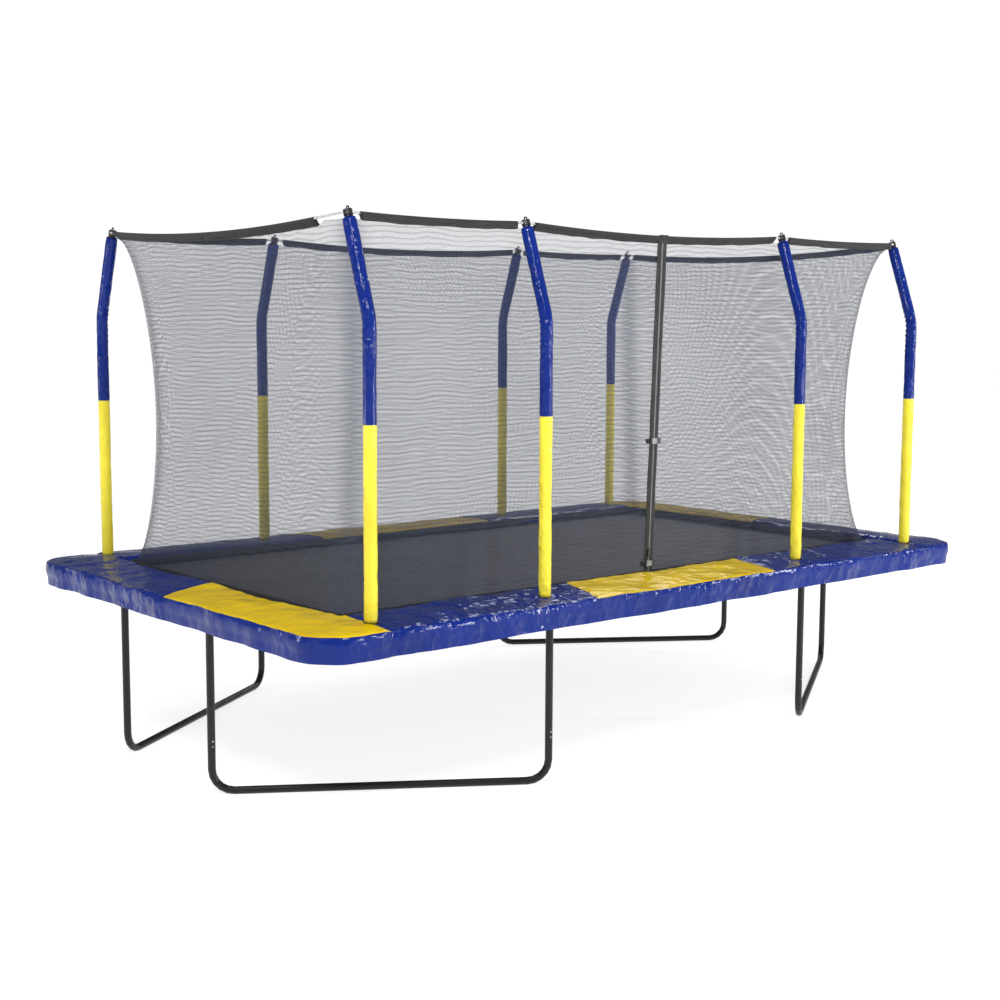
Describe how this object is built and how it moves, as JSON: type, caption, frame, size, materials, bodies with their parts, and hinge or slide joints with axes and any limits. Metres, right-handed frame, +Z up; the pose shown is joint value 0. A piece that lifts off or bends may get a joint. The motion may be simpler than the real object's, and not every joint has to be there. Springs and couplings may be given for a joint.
{
  "type": "trampoline",
  "caption": "Rectangular garden trampoline on U legs, with a sprung mat, padded edge and skirts, and a net enclosure on bent padded poles with a zip door.",
  "frame": {"origin": "on the ground, under the middle of the bed", "axes": "+X along the long sides, to the right as seen from the door side; +Y from the door side to the back; +Z up"},
  "size_m": [4.697, 2.866, 2.7425],
  "materials": {
    "black_steel": "satin",
    "blue_vinyl": "gloss",
    "black_plastic": "satin",
    "grey_plastic": "satin",
    "white_rod": "satin",
    "net_mesh": "matte",
    "woven_mat": "matte",
    "black_webbing": "matte",
    "zinc_steel": "satin"
  },
  "bodies": {
    "frame": {"buckle_lower_socket": "grey_plastic", "buckle_upper_socket": "grey_plastic", "frame_corner_back_left": "black_steel", "frame_corner_back_right": "black_steel", "frame_corner_front_left": "black_steel", "frame_corner_front_right": "black_steel", "frame_rail_back": "black_steel", "frame_rail_front": "black_steel", "leg_base_back_left": "black_steel", "leg_base_back_right": "black_steel", "leg_base_front_left": "black_steel", "leg_base_front_right": "black_steel", "leg_upright_back_left_long": "black_steel", "leg_upright_back_left_short": "black_steel", "leg_upright_back_right_long": "black_steel", "leg_upright_back_right_short": "black_steel", "leg_upright_front_left_long": "black_steel", "leg_upright_front_left_short": "black_steel", "leg_upright_front_right_long": "black_steel", "leg_upright_front_right_short": "black_steel", "net_back": "net_mesh", "net_front": "net_mesh", "net_left": "net_mesh", "net_right": "net_mesh", "pad_back": "blue_vinyl", "pad_front": "blue_vinyl", "pad_left": "blue_vinyl", "pad_right": "blue_vinyl", "pole_back_left": "black_steel", "pole_back_mid_left": "black_steel", "pole_back_mid_right": "black_steel", "pole_back_right": "black_steel", "pole_cap_back_left": "black_plastic", "pole_cap_back_mid_left": "black_plastic", "pole_cap_back_mid_right": "black_plastic", "pole_cap_back_right": "black_plastic", "pole_cap_front_left": "black_plastic", "pole_cap_front_mid_left": "black_plastic", "pole_cap_front_mid_right": "black_plastic", "pole_cap_front_right": "black_plastic", "pole_front_left": "black_steel", "pole_front_mid_left": "black_steel", "pole_front_mid_right": "black_steel", "pole_front_right": "black_steel", "pole_sleeve_back_left": "blue_vinyl", "pole_sleeve_back_mid_left": "blue_vinyl", "pole_sleeve_back_mid_right": "blue_vinyl", "pole_sleeve_back_right": "blue_vinyl", "pole_sleeve_front_left": "blue_vinyl", "pole_sleeve_front_mid_left": "blue_vinyl", "pole_sleeve_front_mid_right": "blue_vinyl", "pole_sleeve_front_right": "blue_vinyl", "ring_rod": "white_rod", "springs": "zinc_steel", "zip_tape": "black_webbing"},
    "mat": {"mat": "woven_mat"},
    "zip_slider": {"zip_slider": "zinc_steel"},
    "lower_plug": {"buckle_lower_plug": "black_plastic"},
    "upper_plug": {"buckle_upper_plug": "black_plastic"}
  },
  "joints": [
    {"name": "mat_bounce", "type": "slide", "parent": "frame", "child": "mat", "axis": [0, 0, 1], "range_m": [-0.2, 0], "stiffness_N_per_m": 6000, "springref_m": 0.06, "deforming": ["springs"]},
    {"name": "zip_slide", "type": "slide", "parent": "frame", "child": "zip_slider", "axis": [0, -0.0391, 0.9992], "range_m": [0, 1.58]},
    {"name": "lower_plug_pull", "type": "slide", "parent": "frame", "child": "lower_plug", "axis": [1, 0, 0], "range_m": [0, 0.03]},
    {"name": "upper_plug_pull", "type": "slide", "parent": "frame", "child": "upper_plug", "axis": [1, 0, 0], "range_m": [0, 0.03]}
  ]
}
